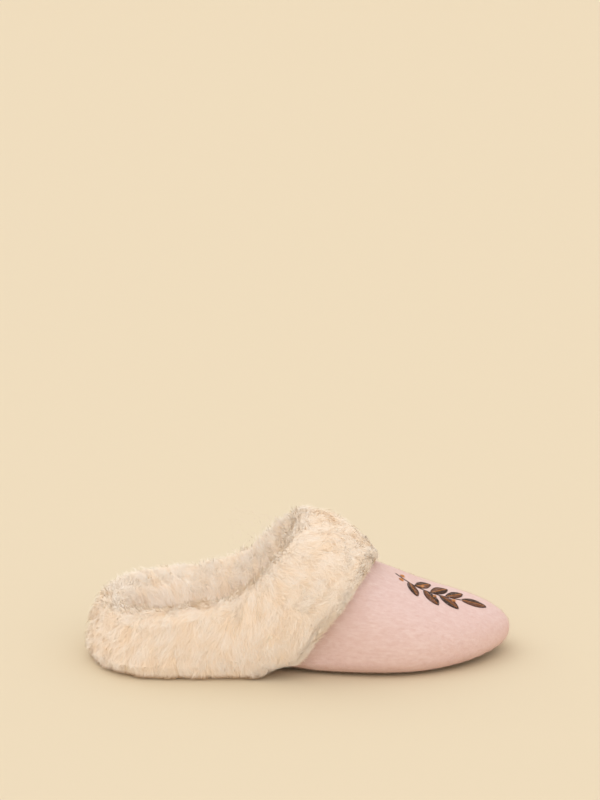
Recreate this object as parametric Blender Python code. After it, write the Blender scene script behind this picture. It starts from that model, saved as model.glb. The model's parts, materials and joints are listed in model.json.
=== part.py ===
"""A fur-cuffed felt house slipper, right foot: outsole, insole, hollow felt upper and deep fur cuff.

Units are metres. +X points to the toe, +Y to the inner (big toe) side, +Z up. The sole stands on z = 0,
and the origin is under the middle of the slipper's box.

Every form comes from one function, last_surface, which gives a point of the last from its place along the
foot, its place round the girth and its depth under the felt's outer face. A negative depth lies outside.
"""

import bmesh
import bpy
import numpy as np

# Driving sizes of the last and the felt
FOOT_ROOM = 0.242
FELT_WALL = 0.003
BALL_WIDTH = 0.0955
HEEL_WIDTH = 0.0685
INSTEP_HEIGHT = 0.076
TOE_HEIGHT = 0.0305
HEEL_HEIGHT = 0.0270
TOE_ROUND = 0.0757
TOE_TOP_ROUND = 0.040
HEEL_ROUND = 0.038
TOE_TURN_IN = 0.0084
HEEL_LEAN = 0.18
HEEL_LEAN_REACH = 0.065
BULGE_HEIGHT = 0.0098
HEM_HEIGHT = 0.0023
TUCK_UNDER = 0.0065

# Driving sizes of the sole
SOLE_THICKNESS = 0.0050
SOLE_EDGE_BEVEL = 0.0010
INSOLE_THICKNESS = 0.0040
INSOLE_EDGE_ROUND = 0.0018
TOE_SPRING = 0.0045
TOE_SPRING_LENGTH = 0.056
ARCH_RISE = 0.0016
ARCH_START = 0.076
ARCH_LENGTH = 0.056

# Driving sizes of the fur cuff
FUR_DEPTH_FRONT = 0.0142
FUR_DEPTH_SIDE = 0.0132
FUR_DEPTH_BACK = 0.0106
FUR_INSIDE = 0.0068
FUR_ROLL_FRONT = 0.0120
FUR_ROLL_BACK = 0.0118
FUR_LEG = 0.0110
FUR_FLOOR_CLEAR = 0.0014
LOCK_HEIGHT = 0.0042
LOCK_LEAN = 0.0050
LOCK_FLOOR_CLEAR = 0.0030

# How far the locks differ: shortest and longest, least and most leaning, and the shift round the cuff
LOCK_HEIGHTS = (0.4, 1.0)
LOCK_LEANS = (0.6, 1.0)
LOCK_SHIFTS = (-0.25, 0.25)
LOCK_STANDING = 0.6

# Clearances: flat faces, and curved ones, where the depth of the facets is added
FACE_GAP = 0.0003
SEAM_GAP = 0.0005
FUR_GAP = 0.0007

FELT_LENGTH = FOOT_ROOM + 2 * FELT_WALL
MIDDLE_X = (FUR_DEPTH_BACK + LOCK_STANDING * LOCK_HEIGHT) / 2
MIDDLE_Y = 0.0017

# Superellipse powers of the roundings, powers of the toe's two curves, and where its turn inwards starts
TOE_POWER = 1.86
TOE_TOP_POWER = 2.3
HEEL_POWER = 2.0
TOE_SPRING_POWER = 1.8
TOE_TURN_POWER = 1.4
TOE_TURN_START = 0.55

# The last's plan. along: share of the felt's length from the heel. outer, inner: share of the way from
# the heel's half width to the ball's, on either side of the centre line.
PLAN = (
    # along, outer, inner
    (0.00, 0.00, 0.00),
    (0.15, 0.00, 0.00),
    (0.32, 0.08, -0.12),
    (0.42, 0.25, -0.05),
    (0.52, 0.55, 0.30),
    (0.62, 0.86, 0.74),
    (0.70, 1.00, 0.96),
    (0.80, 1.02, 1.03),
    (1.00, 1.02, 1.00),
)

# The last's ridge. height: share of the way from the toe's height to the instep's, which is 1 at the
# throat. fullness: the power of the arch there, 2 for an ellipse.
RIDGE = (
    # along, height, fullness
    (0.00, 1.42, 2.9),
    (0.20, 1.42, 2.7),
    (0.36, 1.30, 2.4),
    (0.51, 1.00, 2.2),
    (0.67, 0.57, 2.1),
    (0.77, 0.29, 2.4),
    (0.87, 0.125, 2.2),
    (1.00, 0.00, 2.2),
)
THROAT = 0.51

# The topline. height: share of the way from the heel's height to the instep's.
TOPLINE = (
    # along, height
    (0.00, 0.00),
    (0.15, 0.03),
    (0.24, 0.09),
    (0.32, 0.18),
    (0.38, 0.36),
    (0.44, 0.61),
    (0.48, 0.82),
    (THROAT, 1.00),
)

# The cuff's two edges, from the front (round 0) to the heel's back (round 1). girth: 0 on the ridge,
# 1 at the widest line, 2 at the hem. top: the topline's place along the foot.
CUFF = (
    # round, along, girth, top
    (0.00, 0.651, 0.00, THROAT),
    (0.08, 0.637, 0.17, 0.503),
    (0.16, 0.611, 0.40, 0.484),
    (0.24, 0.568, 0.66, 0.455),
    (0.32, 0.498, 0.90, 0.418),
    (0.40, 0.412, 1.17, 0.374),
    (0.48, 0.352, 1.52, 0.322),
    (0.56, 0.288, 1.80, 0.262),
    (0.66, 0.204, 1.88, 0.188),
    (0.78, 0.112, 1.88, 0.105),
    (0.90, 0.030, 1.88, 0.028),
    (1.00, 0.000, 1.88, 0.000),
)

# The cuff's depth round the foot, as shares of the three named depths.
CUFF_DEPTH = (
    # round, front, side, back
    (0.00, 1.00, 0.00, 0.00),
    (0.20, 0.80, 0.20, 0.00),
    (0.45, 0.00, 1.00, 0.00),
    (0.75, 0.00, 1.00, 0.00),
    (1.00, 0.00, 0.00, 1.00),
)

# The skirt's section from its edge (place 0) to the topline (place 1). front, back: share of the cuff's
# depth at the thin edge over the instep, and at the full edge round the heel. locks: share of the lock's
# height that stands on the band above the row.
SKIRT = (
    # place, front, back, locks
    (-0.01, 0.14, 0.33, 0.0),
    (-0.05, 0.31, 0.67, 0.0),
    (0.03, 0.45, 0.79, 0.4),
    (0.16, 0.64, 0.91, 0.8),
    (0.32, 0.90, 1.04, 1.0),
    (0.49, 1.06, 1.05, 1.0),
    (0.67, 1.03, 1.00, 1.0),
    (0.85, 0.96, 0.96, 1.0),
)
SKIRT_CHANGE = 0.45

# The roll over the topline. turn: degrees from the outside over the top to the inside.
ROLL = (
    # turn, locks
    (8.0, 1.0),
    (42.0, 0.9),
    (76.0, 0.8),
    (110.0, 0.7),
    (146.0, 0.6),
)

# The inner leg. down: share of the leg's length below the topline. depth: share of the inside depth.
LEG = (
    # down, depth, locks
    (0.10, 1.00, 0.6),
    (0.60, 0.95, 0.4),
    (1.00, 0.55, 0.0),
)

# The cuff's seat on the felt, from the topline down to the skirt's edge
SEAT_PLACES = (0.86, 0.72, 0.58, 0.44, 0.30, 0.15, 0.0)
HEM_LIMIT = 1.96

# Each piece's colour and roughness
LOOKS = {
    "outsole": ((0.42, 0.28, 0.20), 0.90),
    "insole": ((0.72, 0.40, 0.34), 0.95),
    "upper": ((0.78, 0.52, 0.45), 0.95),
    "fur_cuff": ((0.86, 0.70, 0.52), 1.00),
}
SHARP_DEGREES = 50

STATIONS_BEHIND = 22
STATIONS_AHEAD = 18
TUCK_ROWS = 3
ARCH_ROWS = 10
SOLE_STATIONS = 34
SOLE_ACROSS = 6
CUFF_COLUMNS = 72
PATH_REACH = 2.2
PATH_SAMPLES = 67
LOCK_SEED = 11
MERGE = 0.00001
QUARTER_TURN = np.pi / 2


def read(table, column, at, flat_ends=False):
    """A smooth curve through one column of a table, by its first column: cubic, and never past a row."""
    rows = np.array(table, float)
    xs, ys = rows[:, 0], rows[:, column]
    at = np.clip(np.asarray(at, float), xs[0], xs[-1])
    steps, rises = np.diff(xs), np.diff(ys)
    slopes = rises / steps
    before, after = slopes[:-1], slopes[1:]
    same = before * after > 0
    inner = np.where(same, 2 * before * after / np.where(same, before + after, 1.0), 0.0)
    ends = 0.0 if flat_ends else 1.0
    tangents = np.concatenate([[slopes[0] * ends], inner, [slopes[-1] * ends]])
    i = np.clip(np.searchsorted(xs, at, side="right") - 1, 0, len(steps) - 1)
    t = (at - xs[i]) / steps[i]
    return (
        (2 * t**3 - 3 * t**2 + 1) * ys[i]
        + (t**3 - 2 * t**2 + t) * steps[i] * tangents[i]
        + (3 * t**2 - 2 * t**3) * ys[i + 1]
        + (t**3 - t**2) * steps[i] * tangents[i + 1]
    )


def rounding(distance, length, power):
    """1 away from an end and 0 at the end, along a superellipse of this length."""
    t = np.clip(1 - distance / length, 0, 1)
    return np.clip(1 - t**power, 0, 1) ** (1 / power)


def lift(along):
    """How far the sole's underside stands off the floor: a low arch and the toe spring."""
    distance = np.asarray(along, float) * FELT_LENGTH
    arch = np.clip((distance - ARCH_START) / ARCH_LENGTH, 0, 1)
    spring = np.clip(1 - (FELT_LENGTH - distance) / TOE_SPRING_LENGTH, 0, 1)
    return ARCH_RISE * np.sin(np.pi * arch) ** 2 + TOE_SPRING * spring**TOE_SPRING_POWER


def centre_line(along):
    """The last's centre line, which turns in towards the big toe in front of the ball."""
    ahead = (np.asarray(along, float) - TOE_TURN_START) / (1 - TOE_TURN_START)
    return MIDDLE_Y + TOE_TURN_IN * np.clip(ahead, 0, 1) ** TOE_TURN_POWER


def half_width(along, side, inset):
    """Half the last's width on one side, drawn in by inset and rounded at heel and toe."""
    along = np.asarray(along, float)
    share = np.where(side < 0, read(PLAN, 1, along), read(PLAN, 2, along))
    width = HEEL_WIDTH / 2 + (BALL_WIDTH - HEEL_WIDTH) / 2 * share
    ends = rounding((1 - along) * FELT_LENGTH, TOE_ROUND, TOE_POWER)
    ends = ends * rounding(along * FELT_LENGTH, HEEL_ROUND, HEEL_POWER)
    return (width - inset) * ends


def ridge_rise(along, depth):
    """The ridge's height over the widest line."""
    height = TOE_HEIGHT + (INSTEP_HEIGHT - TOE_HEIGHT) * read(RIDGE, 1, along)
    top = rounding((1 - np.asarray(along, float)) * FELT_LENGTH, TOE_TOP_ROUND, TOE_TOP_POWER)
    return (height - BULGE_HEIGHT - lift(along) - depth) * top


def last_surface(along, girth, depth):
    """A point of the last: girth is 0 on the ridge, -1 and 1 at the widest line and -2 and 2 at the hem."""
    along, girth, depth = np.broadcast_arrays(
        np.asarray(along, float), np.asarray(girth, float), np.asarray(depth, float)
    )
    side = np.where(girth < 0, -1.0, 1.0)
    size = np.abs(girth)
    power = 2 / read(RIDGE, 2, along)
    up = QUARTER_TURN * np.clip(1 - size, 0, 1)
    under = QUARTER_TURN * np.clip(size - 1, 0, 1)
    inset = depth + (TUCK_UNDER - depth) * (1 - np.cos(under))
    drop = (BULGE_HEIGHT - HEM_HEIGHT - depth) * np.sin(under)
    rise = ridge_rise(along, depth) * np.sin(up) ** power
    lean = np.clip(1 - along * FELT_LENGTH / HEEL_LEAN_REACH, 0, 1) ** 2
    x = MIDDLE_X + (along - 0.5) * (FELT_LENGTH - 2 * inset) + HEEL_LEAN * rise * lean
    y = centre_line(along) + side * half_width(along, side, inset) * np.cos(up) ** power
    z = BULGE_HEIGHT + lift(along) + rise - drop
    return np.stack([x, y, z], axis=-1)


def topline_girth(along):
    """The girth at which the last reaches the topline's height."""
    height = HEEL_HEIGHT + (INSTEP_HEIGHT - HEEL_HEIGHT) * read(TOPLINE, 1, along)
    rise = height - BULGE_HEIGHT - lift(along)
    share = np.clip(rise / ridge_rise(along, 0.0), 0, 1)
    up = np.arcsin(share ** (read(RIDGE, 2, along) / 2))
    return 1 - up / QUARTER_TURN


def smooth_stations(count, start, end):
    """Places along the foot that crowd towards both ends, as an outline's points do on a round end."""
    turn = np.linspace(0, np.pi, count + 1)
    return start + (end - start) * (0.5 - 0.5 * np.cos(turn))


def make_object(name, points, faces):
    """One closed body: its coincident points merged, its faces turned out and its material set."""
    mesh = bpy.data.meshes.new(name)
    mesh.from_pydata([tuple(p) for p in points], [], faces)
    body = bmesh.new()
    body.from_mesh(mesh)
    bmesh.ops.remove_doubles(body, verts=body.verts[:], dist=MERGE)
    bmesh.ops.dissolve_degenerate(body, edges=body.edges[:], dist=MERGE)
    bmesh.ops.triangulate(body, faces=body.faces[:])
    bmesh.ops.recalc_face_normals(body, faces=body.faces[:])
    body.to_mesh(mesh)
    body.free()
    mesh.shade_smooth()
    mesh.set_sharp_from_angle(angle=np.radians(SHARP_DEGREES))
    colour, roughness = LOOKS[name]
    material = bpy.data.materials.new(name)
    material.use_nodes = True
    shader = material.node_tree.nodes["Principled BSDF"]
    shader.inputs["Base Color"].default_value = (*colour, 1.0)
    shader.inputs["Roughness"].default_value = roughness
    shader.inputs["Metallic"].default_value = 0.0
    mesh.materials.append(material)
    made = bpy.data.objects.new(name, mesh)
    bpy.context.scene.collection.objects.link(made)
    return made


def slab(name, bottom, thickness, edge):
    """A foot-shaped slab inside the hem: closed sections from heel to toe, each with cut edges."""
    inset = TUCK_UNDER + SEAM_GAP
    end = 0.5 * (SOLE_EDGE_BEVEL / FELT_LENGTH)
    places = smooth_stations(SOLE_STATIONS, end, 1 - end)
    across = np.linspace(-1, 1, SOLE_ACROSS + 1)
    sections = []
    for low, drawn_in, order in (
        (bottom, edge, across),
        (bottom + edge, 0.0, across[[-1]]),
        (bottom + thickness - edge, 0.0, across[[-1]]),
        (bottom + thickness, edge, across[::-1]),
        (bottom + thickness - edge, 0.0, across[[0]]),
        (bottom + edge, 0.0, across[[0]]),
    ):
        side = np.where(order < 0, -1.0, 1.0)
        grid, turn = np.meshgrid(places, order, indexing="ij")
        width = half_width(grid, side[None, :], inset + drawn_in)
        x = MIDDLE_X + (grid - 0.5) * (FELT_LENGTH - 2 * (inset + drawn_in))
        y = centre_line(grid) + turn * width
        z = low + lift(grid)
        sections.append(np.stack([x, y, z], axis=-1))
    ring = np.concatenate(sections, axis=1)
    count, around = ring.shape[:2]
    points = ring.reshape(-1, 3)
    faces = []
    for i in range(count - 1):
        for j in range(around):
            k = (j + 1) % around
            faces.append((i * around + j, i * around + k, (i + 1) * around + k, (i + 1) * around + j))
    faces.append(tuple(range(around)))
    faces.append(tuple((count - 1) * around + j for j in reversed(range(around))))
    return make_object(name, points, faces)


def upper_skin(stations, depth):
    """One face of the felt: for each side, a grid from the hem up to the topline or over to the ridge."""
    skins = []
    for side in (-1, 1):
        rows = []
        for along in stations:
            top = topline_girth(along) if along < THROAT else 0.0
            tuck = np.linspace(2, 1, TUCK_ROWS + 1)
            arch = 1 + (top - 1) * np.linspace(0, 1, ARCH_ROWS + 1)[1:]
            rows.append(last_surface(along, side * np.concatenate([tuck, arch]), depth))
        skins.append(np.array(rows))
    return np.array(skins)


def make_upper():
    """The felt shell: outer and inner face, joined along the hem and round the topline."""
    behind = smooth_stations(STATIONS_BEHIND, 0.0, THROAT)
    ahead = THROAT + (1 - THROAT) * np.sin(np.linspace(0, QUARTER_TURN, STATIONS_AHEAD + 1))[1:]
    stations = np.concatenate([behind, ahead])
    skins = np.array([upper_skin(stations, 0.0), upper_skin(stations, FELT_WALL)])
    girths = TUCK_ROWS + ARCH_ROWS + 1
    index = np.arange(skins[..., 0].size).reshape(skins.shape[:-1])
    faces = []
    for side in range(2):
        for i in range(len(stations) - 1):
            for k in range(girths - 1):
                for skin in range(2):
                    at = index[skin, side]
                    faces.append((at[i, k], at[i + 1, k], at[i + 1, k + 1], at[i, k + 1]))
            out, inn = index[0, side], index[1, side]
            faces.append((out[i, 0], inn[i, 0], inn[i + 1, 0], out[i + 1, 0]))
            if i < STATIONS_BEHIND:
                faces.append((out[i, -1], out[i + 1, -1], inn[i + 1, -1], inn[i, -1]))
    faces = [tuple(int(v) for v in face) for face in faces]
    return make_object("upper", skins.reshape(-1, 3), faces)


def cuff_line(turn, share):
    """The straight line on the last's own chart from the skirt's edge (share 0) to the topline (1) and past."""
    distance = 1 - np.abs(2 * turn - 1)
    side = np.where(turn < 0.5, -1.0, 1.0)
    top = read(CUFF, 3, distance, flat_ends=True)
    low_along, low_girth = read(CUFF, 1, distance, flat_ends=True), read(CUFF, 2, distance)
    along = low_along + (top - low_along) * share
    girth = low_girth + (topline_girth(top) - low_girth) * share
    return np.clip(along, 0, 1), side * np.clip(girth, 0, HEM_LIMIT)


def cuff_lengths(turn):
    """The felt's length under each column's line, from the skirt's edge: at shares of the line, and to its top."""
    share = np.linspace(0, PATH_REACH, PATH_SAMPLES)
    along, girth = cuff_line(turn[:, None], share[None, :])
    steps = np.linalg.norm(np.diff(last_surface(along, girth, 0.0), axis=1), axis=2)
    grown = np.concatenate([np.zeros((len(turn), 1)), np.cumsum(steps, axis=1)], axis=1)
    return share, grown, np.array([np.interp(1.0, share, row) for row in grown])


def cuff_point(turn, place, depth):
    """A point of the cuff: place is the share of the felt's length from the skirt's edge to the topline.

    Fur that would reach the floor is pressed flat just over it, the more the lower it would hang.
    """
    share, grown, length = cuff_lengths(turn)
    at = np.array([np.interp(p * n, row, share) for p, n, row in zip(place, length, grown)])
    at = at + np.minimum(place, 0)
    along, girth = cuff_line(turn, at)
    point = last_surface(along, girth, depth)
    height = point[..., 2]
    pressed = FUR_FLOOR_CLEAR * (1 + np.exp(np.minimum(height / FUR_FLOOR_CLEAR - 2, 0)))
    low = (height < 2 * FUR_FLOOR_CLEAR) & (depth < -2 * FUR_GAP)
    point[..., 2] = np.where(low, pressed, height)
    return point


def cuff_section(turn):
    """The cuff's rows as (place, depth, locks) for every column, from the skirt's edge once round."""
    distance = 1 - np.abs(2 * turn - 1)
    length = cuff_lengths(turn)[2]
    named = (FUR_DEPTH_FRONT, FUR_DEPTH_SIDE, FUR_DEPTH_BACK)
    fur = sum(size * read(CUFF_DEPTH, column + 1, distance) for column, size in enumerate(named))
    roll = FUR_ROLL_FRONT + (FUR_ROLL_BACK - FUR_ROLL_FRONT) * distance
    inside = FELT_WALL + FUR_INSIDE
    rows = []
    change = np.clip(distance / SKIRT_CHANGE, 0, 1)
    for place, front, back, locks in SKIRT:
        rows.append((np.full_like(turn, place), -fur * (front + (back - front) * change), locks))
    skirt_end = SKIRT[-1][1]
    middle, reach = (inside - fur * skirt_end) / 2, (inside + fur * skirt_end) / 2
    for degrees, locks in ROLL:
        angle = np.radians(degrees)
        rows.append((1 + roll * np.sin(angle) / length, middle - reach * np.cos(angle), locks))
    for down, depth, locks in LEG:
        rows.append((1 - FUR_LEG * down / length, np.full_like(turn, FELT_WALL + FUR_INSIDE * depth), locks))
    inner = np.full_like(turn, FELT_WALL + FUR_GAP)
    outer = np.full_like(turn, -FUR_GAP)
    rows.append((1 - FUR_LEG / length, inner, 0.0))
    rows.append((1 - FUR_LEG / 2 / length, inner, 0.0))
    rows.append((1 + FUR_GAP / length, inner, 0.0))
    rows.append((1 + FUR_GAP / length, outer, 0.0))
    for place in SEAT_PLACES:
        rows.append((np.full_like(turn, place), outer, 0.0))
    return rows, length


def lock_tip(cell, rows, length, chance):
    """A lock's tip over the middle of its cell: out along the section's normal, and down the pile's lay."""
    (place, depth, locks), (beyond, further) = rows
    on_skin = (beyond - place) * length
    across_skin = further - depth
    step = np.hypot(on_skin, across_skin)
    height = LOCK_HEIGHT * locks * chance.uniform(*LOCK_HEIGHTS)
    lean = LOCK_LEAN * locks * chance.uniform(*LOCK_LEANS)
    turn = (cell + 0.5 + chance.uniform(*LOCK_SHIFTS)) / CUFF_COLUMNS
    reach = (place + beyond) / 2 + (height * across_skin - lean * on_skin) / step / length
    deep = (depth + further) / 2 - (height * on_skin + lean * across_skin) / step
    return turn % 1.0, reach, deep


def make_fur_cuff():
    """The fur ring, with a pointed lock on each cell of its hairy side, leaning the way the pile lies."""
    chance = np.random.RandomState(LOCK_SEED)
    column = np.arange(CUFF_COLUMNS) / CUFF_COLUMNS
    rows, length = cuff_section(column)
    ring = [cuff_point(column, place, depth) for place, depth, locks in rows]
    cells = []
    tips = []
    for r, (place, depth, locks) in enumerate(rows):
        s = (r + 1) % len(rows)
        for c in range(CUFF_COLUMNS):
            d = (c + 1) % CUFF_COLUMNS
            cells.append([i * CUFF_COLUMNS + j for i, j in ((r, c), (r, d), (s, d), (s, c))])
            near = (place[c], depth[c], locks), (rows[s][0][c], rows[s][1][c])
            tips.append(lock_tip(c, near, length[c], chance) if locks else (0.0, 1.0, 0.0))
    tips = cuff_point(*np.array(tips).T)
    wanted = np.repeat([locks > 0 for place, depth, locks in rows], CUFF_COLUMNS)
    wanted &= tips[:, 2] > LOCK_FLOOR_CLEAR
    base = len(rows) * CUFF_COLUMNS
    apexes = base + np.cumsum(wanted) - 1
    faces = []
    for cell, apex, has_lock in zip(cells, apexes, wanted):
        if has_lock:
            faces.extend([cell[i], cell[(i + 1) % 4], int(apex)] for i in range(4))
        else:
            faces.append(cell)
    ring.append(tips[wanted])
    return make_object("fur_cuff", np.concatenate(ring), faces)


def clear_scene():
    """Takes out whatever the scene holds."""
    for found in list(bpy.data.objects):
        bpy.data.objects.remove(found, do_unlink=True)


def main():
    """Builds the slipper from the floor up."""
    clear_scene()
    slab("outsole", 0.0, SOLE_THICKNESS, SOLE_EDGE_BEVEL)
    slab("insole", SOLE_THICKNESS + FACE_GAP, INSOLE_THICKNESS, INSOLE_EDGE_ROUND)
    make_upper()
    make_fur_cuff()


main()
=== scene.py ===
"""The looks of a fur-cuffed felt house slipper: felt, pile, fleece, sole, embroidery and the plain stage.

Every piece is a surface worked out from the same chart of the last. A point of the chart is a place along
the foot (0 at the heel, 1 at the toe), a place round the girth (0 on the ridge, 1 at the widest line, 2 at
the hem, negative on the outer side) and a depth under the felt's outer face. Lengths are metres, +X points
to the toe.
"""

import json
import math

import bmesh
import bpy
import numpy as np
from bpy.props import FloatProperty, FloatVectorProperty, IntProperty, PointerProperty
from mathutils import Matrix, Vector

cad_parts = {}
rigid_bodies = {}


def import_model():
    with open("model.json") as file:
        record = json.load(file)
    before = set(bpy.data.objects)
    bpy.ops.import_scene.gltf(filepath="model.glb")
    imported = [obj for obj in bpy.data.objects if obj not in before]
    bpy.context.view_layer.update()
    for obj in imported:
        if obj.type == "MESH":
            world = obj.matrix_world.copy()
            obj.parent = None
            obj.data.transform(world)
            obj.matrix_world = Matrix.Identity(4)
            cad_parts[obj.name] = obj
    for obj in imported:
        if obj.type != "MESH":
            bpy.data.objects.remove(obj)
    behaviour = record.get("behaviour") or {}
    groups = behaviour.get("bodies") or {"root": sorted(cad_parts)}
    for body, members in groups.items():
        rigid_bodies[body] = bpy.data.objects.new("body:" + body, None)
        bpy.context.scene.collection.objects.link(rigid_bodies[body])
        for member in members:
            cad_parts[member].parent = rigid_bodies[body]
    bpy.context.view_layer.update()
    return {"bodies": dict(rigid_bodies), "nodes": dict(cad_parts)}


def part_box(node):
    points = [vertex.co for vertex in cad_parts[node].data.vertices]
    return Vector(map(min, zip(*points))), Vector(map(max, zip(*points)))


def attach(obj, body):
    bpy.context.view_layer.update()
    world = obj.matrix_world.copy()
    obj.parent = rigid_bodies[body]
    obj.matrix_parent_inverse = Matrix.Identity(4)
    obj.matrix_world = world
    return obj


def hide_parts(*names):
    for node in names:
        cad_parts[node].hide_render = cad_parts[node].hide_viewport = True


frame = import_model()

bl_info = {
    "name": "House Slipper Looks",
    "version": (1, 0, 0),
    "blender": (4, 5, 0),
    "location": "3D View > Sidebar > Slipper",
    "description": "Felt, fur pile, fleece, sole, embroidery and stage of a house slipper",
    "category": "Object",
}

UPPER_LOW, UPPER_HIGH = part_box("upper")

# Sizes of the last, as the frame has them
FELT_LENGTH = UPPER_HIGH.x - UPPER_LOW.x
MIDDLE_X = (UPPER_HIGH.x + UPPER_LOW.x) / 2
MIDDLE_Y = 0.0017
INSTEP_HEIGHT = UPPER_HIGH.z
FELT_WALL = 0.003
BALL_WIDTH = 0.0955
HEEL_WIDTH = 0.0685
TOE_HEIGHT = 0.0305
HEEL_HEIGHT = 0.0270
TOE_ROUND = 0.0757
TOE_TOP_ROUND = 0.040
HEEL_ROUND = 0.038
TOE_TURN_IN = 0.0084
HEEL_LEAN = 0.18
HEEL_LEAN_REACH = 0.065
BULGE_HEIGHT = 0.0098
TOE_POWER = 1.86
TOE_TOP_POWER = 2.3
HEEL_POWER = 2.0
TOE_SPRING_POWER = 1.8
TOE_TURN_POWER = 1.4
TOE_TURN_START = 0.55
HEM_HEIGHT = 0.0023
TUCK_UNDER = 0.0065
TOE_SPRING = 0.0045
TOE_SPRING_LENGTH = 0.056
ARCH_RISE = 0.0016
ARCH_START = 0.076
ARCH_LENGTH = 0.056
SOLE_THICKNESS = 0.0050
SEAM_GAP = 0.0005
FACE_GAP = 0.0003
SOCK_THICKNESS = 0.0040

# Sizes of the fur cuff's body, as the frame has it
FUR_DEPTH_FRONT = 0.0142
FUR_DEPTH_SIDE = 0.0132
FUR_DEPTH_BACK = 0.0106
FUR_INSIDE = 0.0068
FUR_ROLL_FRONT = 0.0120
FUR_ROLL_BACK = 0.0118
FUR_LEG = 0.0110

# along, outer, inner: as in the solids, shares of the way from the heel's half width to the ball's
PLAN = (
    (0.00, 0.00, 0.00),
    (0.15, 0.00, 0.00),
    (0.32, 0.08, -0.12),
    (0.42, 0.25, -0.05),
    (0.52, 0.55, 0.30),
    (0.62, 0.86, 0.74),
    (0.70, 1.00, 0.96),
    (0.80, 1.02, 1.03),
    (1.00, 1.02, 1.00),
)
# along, height, fullness
RIDGE = (
    (0.00, 1.42, 2.9),
    (0.20, 1.42, 2.7),
    (0.36, 1.30, 2.4),
    (0.51, 1.00, 2.2),
    (0.67, 0.57, 2.1),
    (0.77, 0.29, 2.4),
    (0.87, 0.125, 2.2),
    (1.00, 0.00, 2.2),
)
THROAT = 0.51
# along, height
TOPLINE = (
    (0.00, 0.00),
    (0.15, 0.03),
    (0.24, 0.09),
    (0.32, 0.18),
    (0.38, 0.36),
    (0.44, 0.61),
    (0.48, 0.82),
    (THROAT, 1.00),
)
# round, along, girth, top
CUFF = (
    (0.00, 0.651, 0.00, THROAT),
    (0.08, 0.637, 0.17, 0.503),
    (0.16, 0.611, 0.40, 0.484),
    (0.24, 0.568, 0.66, 0.455),
    (0.32, 0.498, 0.90, 0.418),
    (0.40, 0.412, 1.17, 0.374),
    (0.48, 0.352, 1.52, 0.322),
    (0.56, 0.288, 1.80, 0.262),
    (0.66, 0.204, 1.88, 0.188),
    (0.78, 0.112, 1.88, 0.105),
    (0.90, 0.030, 1.88, 0.028),
    (1.00, 0.000, 1.88, 0.000),
)
# round, front, side, back
CUFF_DEPTH = (
    (0.00, 1.00, 0.00, 0.00),
    (0.20, 0.80, 0.20, 0.00),
    (0.45, 0.00, 1.00, 0.00),
    (0.68, 0.00, 1.00, 0.00),
    (0.84, 0.00, 0.35, 0.65),
    (1.00, 0.00, 0.00, 1.00),
)
# The pile's section over the felt, from past the skirt's edge, over the topline and down the inner leg.
# over: distance over the section. skirt: share of the felt's length under the skirt. roll, leg: shares of the
# roll's height over the topline and of the leg's length down from it. front, back: shares of the cuff's depth
# over the instep and round the heel. inside, wall: shares of the inner depth and of the felt's wall.
PILE_SECTION = (
    # over, skirt, roll, leg, front, back, inside, wall
    (-0.16, -0.27, 0.00, 0.00, 0.06, 0.16, 0.00, 0.00),
    (-0.08, -0.165, 0.00, 0.00, 0.20, 0.42, 0.00, 0.00),
    (0.00, -0.06, 0.00, 0.00, 0.35, 0.66, 0.00, 0.00),
    (0.08, 0.04, 0.00, 0.00, 0.46, 0.80, 0.00, 0.00),
    (0.17, 0.18, 0.00, 0.00, 0.60, 0.92, 0.00, 0.00),
    (0.26, 0.34, 0.00, 0.00, 0.80, 1.01, 0.00, 0.00),
    (0.34, 0.50, 0.00, 0.00, 0.95, 1.02, 0.00, 0.00),
    (0.42, 0.67, 0.00, 0.00, 0.98, 0.99, 0.00, 0.00),
    (0.50, 0.85, 0.00, 0.00, 0.97, 0.96, 0.00, 0.00),
    (0.55, 1.00, 0.14, 0.00, 0.95, 0.95, 0.01, 0.01),
    (0.64, 1.00, 0.67, 0.00, 0.84, 0.84, 0.13, 0.13),
    (0.73, 1.00, 0.97, 0.00, 0.60, 0.60, 0.38, 0.38),
    (0.82, 1.00, 0.94, 0.00, 0.32, 0.32, 0.67, 0.67),
    (0.90, 1.00, 0.56, 0.00, 0.08, 0.08, 0.91, 0.91),
    (0.95, 1.00, 0.00, 0.10, 0.00, 0.00, 1.00, 1.00),
    (1.04, 1.00, 0.00, 0.60, 0.00, 0.00, 0.95, 1.00),
    (1.12, 1.00, 0.00, 1.00, 0.00, 0.00, 0.55, 1.00),
    (1.20, 1.00, 0.00, 1.30, 0.00, 0.00, 0.25, 1.00),
)
# over, out: the way back along the felt that closes the fur's backing
SEAT = (
    (1.10, 0.18),
    (0.98, 0.12),
    (0.90, 0.10),
    (0.72, 0.07),
    (0.56, 0.07),
    (0.40, 0.07),
    (0.22, 0.07),
    (0.09, 0.07),
    (0.025, 0.20),
)
# over, lay: which way a hair leans, 1 down the skirt and -1 down the inside
LAY = (
    (0.00, 0.85),
    (0.12, 1.00),
    (0.45, 1.00),
    (0.62, 0.70),
    (0.74, 0.05),
    (0.86, -0.55),
    (1.00, -0.80),
)
# girth, along: the line where the fur's skirt ends on the felt
SKIRT_LINE = (
    (0.00, 0.655),
    (0.17, 0.642),
    (0.40, 0.612),
    (0.66, 0.568),
    (0.90, 0.508),
    (1.17, 0.440),
    (1.52, 0.364),
    (2.00, 0.300),
)
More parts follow.
